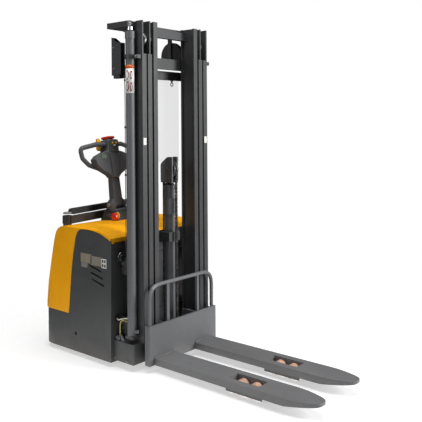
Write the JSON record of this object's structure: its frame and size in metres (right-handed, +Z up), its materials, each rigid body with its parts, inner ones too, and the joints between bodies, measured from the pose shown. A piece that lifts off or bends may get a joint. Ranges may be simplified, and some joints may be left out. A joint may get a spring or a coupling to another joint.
{
  "type": "walkie stacker",
  "caption": "Powered walk-behind pallet stacker: telescopic mast with hydraulic cylinders, two forks, covered battery and drive body, hinged tiller handle and folding side arms.",
  "frame": {"origin": "centre of the overall box in plan, on the floor under the wheels", "axes": "+Z up, +X the way the forks point, +Y to the machine's left; the tiller is at the -X end"},
  "size_m": [2.163, 0.81, 2.22],
  "materials": {
    "mast_grey": "satin powder coat",
    "panel_grey": "satin powder coat, dark",
    "hood_yellow": "amber, lightly glossy",
    "black_plastic": "fine grained",
    "tiller_grey": "fine grained",
    "chrome": "hard chrome, polished",
    "steel": "machined",
    "signal_red": "glossy",
    "polyurethane": "cast polyurethane tread",
    "clear_sheet": "clear plastic sheet"
  },
  "bodies": {
    "base": {"chassis": "panel_grey", "rear_cover": "hood_yellow", "battery": "black_plastic", "battery_plug": "signal_red", "oil_tank": "black_plastic", "pump_unit": "black_plastic", "drive_controller": "steel", "outer_mast": "mast_grey", "lift_cylinder_right": "mast_grey", "lift_cylinder_left": "mast_grey", "tiller_console": "black_plastic", "mast_guard": "clear_sheet", "arm_post_right": "tiller_grey", "arm_post_left": "tiller_grey"},
    "middle_stage": {"middle_mast": "mast_grey", "lift_rod_right": "chrome", "lift_rod_left": "chrome"},
    "inner_stage": {"inner_mast": "mast_grey", "free_lift_cylinder": "mast_grey"},
    "free_head": {"free_lift_head": "mast_grey"},
    "chain_wheel": {"chain_sheave": "steel"},
    "hose_wheel": {"hose_sheave": "black_plastic"},
    "carriage": {"fork_carriage": "mast_grey", "load_backrest": "mast_grey"},
    "steer": {"steering_turret": "tiller_grey", "drive_unit": "black_plastic"},
    "traction_wheel": {"drive_wheel": "polyurethane"},
    "tiller": {"tiller_arm": "tiller_grey", "tiller_head": "tiller_grey", "control_panel": "tiller_grey", "battery_gauge": "clear_sheet"},
    "lift_key": {"lift_button": "hood_yellow"},
    "lower_key": {"lower_button": "hood_yellow"},
    "horn_key": {"horn_button": "black_plastic"},
    "belly_switch": {"belly_button": "signal_red"},
    "throttle_r": {"throttle_right": "hood_yellow"},
    "throttle_l": {"throttle_left": "hood_yellow"},
    "stop_switch": {"emergency_stop": "signal_red"},
    "ignition_key": {"key_switch": "steel"},
    "lid": {"battery_lid": "hood_yellow"},
    "outer_roll_right": {"outer_roller_right": "steel"},
    "middle_roll_right": {"middle_roller_right": "steel"},
    "carriage_roll_right_lower": {"carriage_roller_right_lower": "steel"},
    "carriage_roll_right_upper": {"carriage_roller_right_upper": "steel"},
    "load_roll_right_rear": {"load_roller_right_rear": "polyurethane"},
    "load_roll_right_front": {"load_roller_right_front": "polyurethane"},
    "outer_roll_left": {"outer_roller_left": "steel"},
    "middle_roll_left": {"middle_roller_left": "steel"},
    "carriage_roll_left_lower": {"carriage_roller_left_lower": "steel"},
    "carriage_roll_left_upper": {"carriage_roller_left_upper": "steel"},
    "load_roll_left_rear": {"load_roller_left_rear": "polyurethane"},
    "load_roll_left_front": {"load_roller_left_front": "polyurethane"},
    "caster_right": {"caster_fork_right": "steel"},
    "caster_tread_right": {"caster_wheel_right": "polyurethane"},
    "arm_right": {"side_arm_right": "black_plastic"},
    "caster_left": {"caster_fork_left": "steel"},
    "caster_tread_left": {"caster_wheel_left": "polyurethane"},
    "arm_left": {"side_arm_left": "black_plastic"}
  },
  "joints": [
    {"name": "middle_lift", "type": "slide", "parent": "base", "child": "middle_stage", "axis": [0, 0, 1], "range_m": [0, 1.45]},
    {"name": "inner_lift", "type": "slide", "parent": "middle_stage", "child": "inner_stage", "axis": [0, 0, 1], "range_m": [0, 1.45]},
    {"name": "carriage_lift", "type": "slide", "parent": "inner_stage", "child": "carriage", "axis": [0, 0, 1], "range_m": [0, 1.4]},
    {"name": "free_lift", "type": "slide", "parent": "inner_stage", "child": "free_head", "axis": [0, 0, 1], "range_m": [0, 0.7]},
    {"name": "chain_wheel_spin", "type": "hinge", "parent": "free_head", "child": "chain_wheel", "pos_m": [-0.2025, 0, 1.262], "axis": [0, 1, 0], "continuous": true},
    {"name": "hose_wheel_spin", "type": "hinge", "parent": "middle_stage", "child": "hose_wheel", "pos_m": [-0.3795, 0.216, 2.05], "axis": [0, 1, 0], "continuous": true},
    {"name": "outer_roller_right_spin", "type": "hinge", "parent": "base", "child": "outer_roll_right", "pos_m": [-0.2005, -0.2645, 2.105], "axis": [0, 1, 0], "continuous": true},
    {"name": "middle_roller_right_spin", "type": "hinge", "parent": "middle_stage", "child": "middle_roll_right", "pos_m": [-0.2005, -0.2135, 2.105], "axis": [0, 1, 0], "continuous": true},
    {"name": "carriage_roller_right_lower_spin", "type": "hinge", "parent": "carriage", "child": "carriage_roll_right_lower", "pos_m": [-0.2005, -0.1765, 0.105], "axis": [0, 1, 0], "continuous": true},
    {"name": "carriage_roller_right_upper_spin", "type": "hinge", "parent": "carriage", "child": "carriage_roll_right_upper", "pos_m": [-0.2005, -0.1765, 0.235], "axis": [0, 1, 0], "continuous": true},
    {"name": "load_roller_right_rear_spin", "type": "hinge", "parent": "carriage", "child": "load_roll_right_rear", "pos_m": [0.5385, -0.194, 0.0385], "axis": [0, 1, 0], "continuous": true},
    {"name": "load_roller_right_front_spin", "type": "hinge", "parent": "carriage", "child": "load_roll_right_front", "pos_m": [0.6355, -0.194, 0.0385], "axis": [0, 1, 0], "continuous": true},
    {"name": "outer_roller_left_spin", "type": "hinge", "parent": "base", "child": "outer_roll_left", "pos_m": [-0.2005, 0.2645, 2.105], "axis": [0, 1, 0], "continuous": true},
    {"name": "middle_roller_left_spin", "type": "hinge", "parent": "middle_stage", "child": "middle_roll_left", "pos_m": [-0.2005, 0.2135, 2.105], "axis": [0, 1, 0], "continuous": true},
    {"name": "carriage_roller_left_lower_spin", "type": "hinge", "parent": "carriage", "child": "carriage_roll_left_lower", "pos_m": [-0.2005, 0.1765, 0.105], "axis": [0, 1, 0], "continuous": true},
    {"name": "carriage_roller_left_upper_spin", "type": "hinge", "parent": "carriage", "child": "carriage_roll_left_upper", "pos_m": [-0.2005, 0.1765, 0.235], "axis": [0, 1, 0], "continuous": true},
    {"name": "load_roller_left_rear_spin", "type": "hinge", "parent": "carriage", "child": "load_roll_left_rear", "pos_m": [0.5385, 0.194, 0.0385], "axis": [0, 1, 0], "continuous": true},
    {"name": "load_roller_left_front_spin", "type": "hinge", "parent": "carriage", "child": "load_roll_left_front", "pos_m": [0.6355, 0.194, 0.0385], "axis": [0, 1, 0], "continuous": true},
    {"name": "steering", "type": "hinge", "parent": "base", "child": "steer", "pos_m": [-0.7415, 0, 0.5], "axis": [0, 0, 1], "range_deg": [-90, 90]},
    {"name": "traction_spin", "type": "hinge", "parent": "steer", "child": "traction_wheel", "pos_m": [-0.7415, 0, 0.115], "axis": [0, 1, 0], "continuous": true},
    {"name": "tiller_tilt", "type": "hinge", "parent": "steer", "child": "tiller", "pos_m": [-0.7415, 0, 0.985], "axis": [0, 1, 0], "range_deg": [-55, 0], "stiffness_Nm_per_rad": 14, "springref_deg": 17.19},
    {"name": "lift_button_press", "type": "slide", "parent": "tiller", "child": "lift_key", "axis": [-0.9903, 0, -0.1392], "range_m": [0, 0.002], "stiffness_N_per_m": 500},
    {"name": "lower_button_press", "type": "slide", "parent": "tiller", "child": "lower_key", "axis": [-0.9903, 0, -0.1392], "range_m": [0, 0.002], "stiffness_N_per_m": 500},
    {"name": "horn_button_press", "type": "slide", "parent": "tiller", "child": "horn_key", "axis": [-0.9903, 0, -0.1392], "range_m": [0, 0.002], "stiffness_N_per_m": 500},
    {"name": "belly_press", "type": "slide", "parent": "tiller", "child": "belly_switch", "axis": [0.1392, 0, -0.9903], "range_m": [0, 0.004], "stiffness_N_per_m": 600},
    {"name": "throttle_right_turn", "type": "hinge", "parent": "tiller", "child": "throttle_r", "pos_m": [-0.85507, -0.06, 1.41942], "axis": [0, 1, 0], "range_deg": [-18, 18], "stiffness_Nm_per_rad": 0.4},
    {"name": "throttle_left_turn", "type": "hinge", "parent": "tiller", "child": "throttle_l", "pos_m": [-0.85507, 0.06, 1.41942], "axis": [0, 1, 0], "range_deg": [-18, 18], "stiffness_Nm_per_rad": 0.4},
    {"name": "emergency_stop_press", "type": "slide", "parent": "base", "child": "stop_switch", "axis": [0, 1, 0], "range_m": [0, 0.004]},
    {"name": "key_turn", "type": "hinge", "parent": "base", "child": "ignition_key", "pos_m": [-0.7265, -0.086, 0.915], "axis": [0, 1, 0], "range_deg": [0, 90]},
    {"name": "lid_hinge", "type": "hinge", "parent": "base", "child": "lid", "pos_m": [-0.5815, 0, 0.8895], "axis": [0, 1, 0], "range_deg": [-75, 0]},
    {"name": "caster_right_swivel", "type": "hinge", "parent": "base", "child": "caster_right", "pos_m": [-0.6815, -0.3, 0.18], "axis": [0, 0, 1], "continuous": true},
    {"name": "caster_right_spin", "type": "hinge", "parent": "caster_right", "child": "caster_tread_right", "pos_m": [-0.7135, -0.3, 0.0625], "axis": [0, 1, 0], "continuous": true},
    {"name": "side_arm_right_swing", "type": "hinge", "parent": "base", "child": "arm_right", "pos_m": [-0.8915, -0.325, 0.93], "axis": [0, 0, 1], "range_deg": [0, 95]},
    {"name": "caster_left_swivel", "type": "hinge", "parent": "base", "child": "caster_left", "pos_m": [-0.6815, 0.3, 0.18], "axis": [0, 0, 1], "continuous": true},
    {"name": "caster_left_spin", "type": "hinge", "parent": "caster_left", "child": "caster_tread_left", "pos_m": [-0.7135, 0.3, 0.0625], "axis": [0, 1, 0], "continuous": true},
    {"name": "side_arm_left_swing", "type": "hinge", "parent": "base", "child": "arm_left", "pos_m": [-0.8915, 0.325, 0.93], "axis": [0, 0, 1], "range_deg": [-95, 0]}
  ],
  "couplings": [
    {"joint": "inner_lift", "follows": "middle_lift", "ratio": 1},
    {"joint": "free_lift", "follows": "carriage_lift", "ratio": 0.5},
    {"joint": "chain_wheel_spin", "follows": "carriage_lift", "rad_per_m": -8.93},
    {"joint": "hose_wheel_spin", "follows": "middle_lift", "rad_per_m": -11.36},
    {"joint": "throttle_left_turn", "follows": "throttle_right_turn", "ratio": 1}
  ]
}
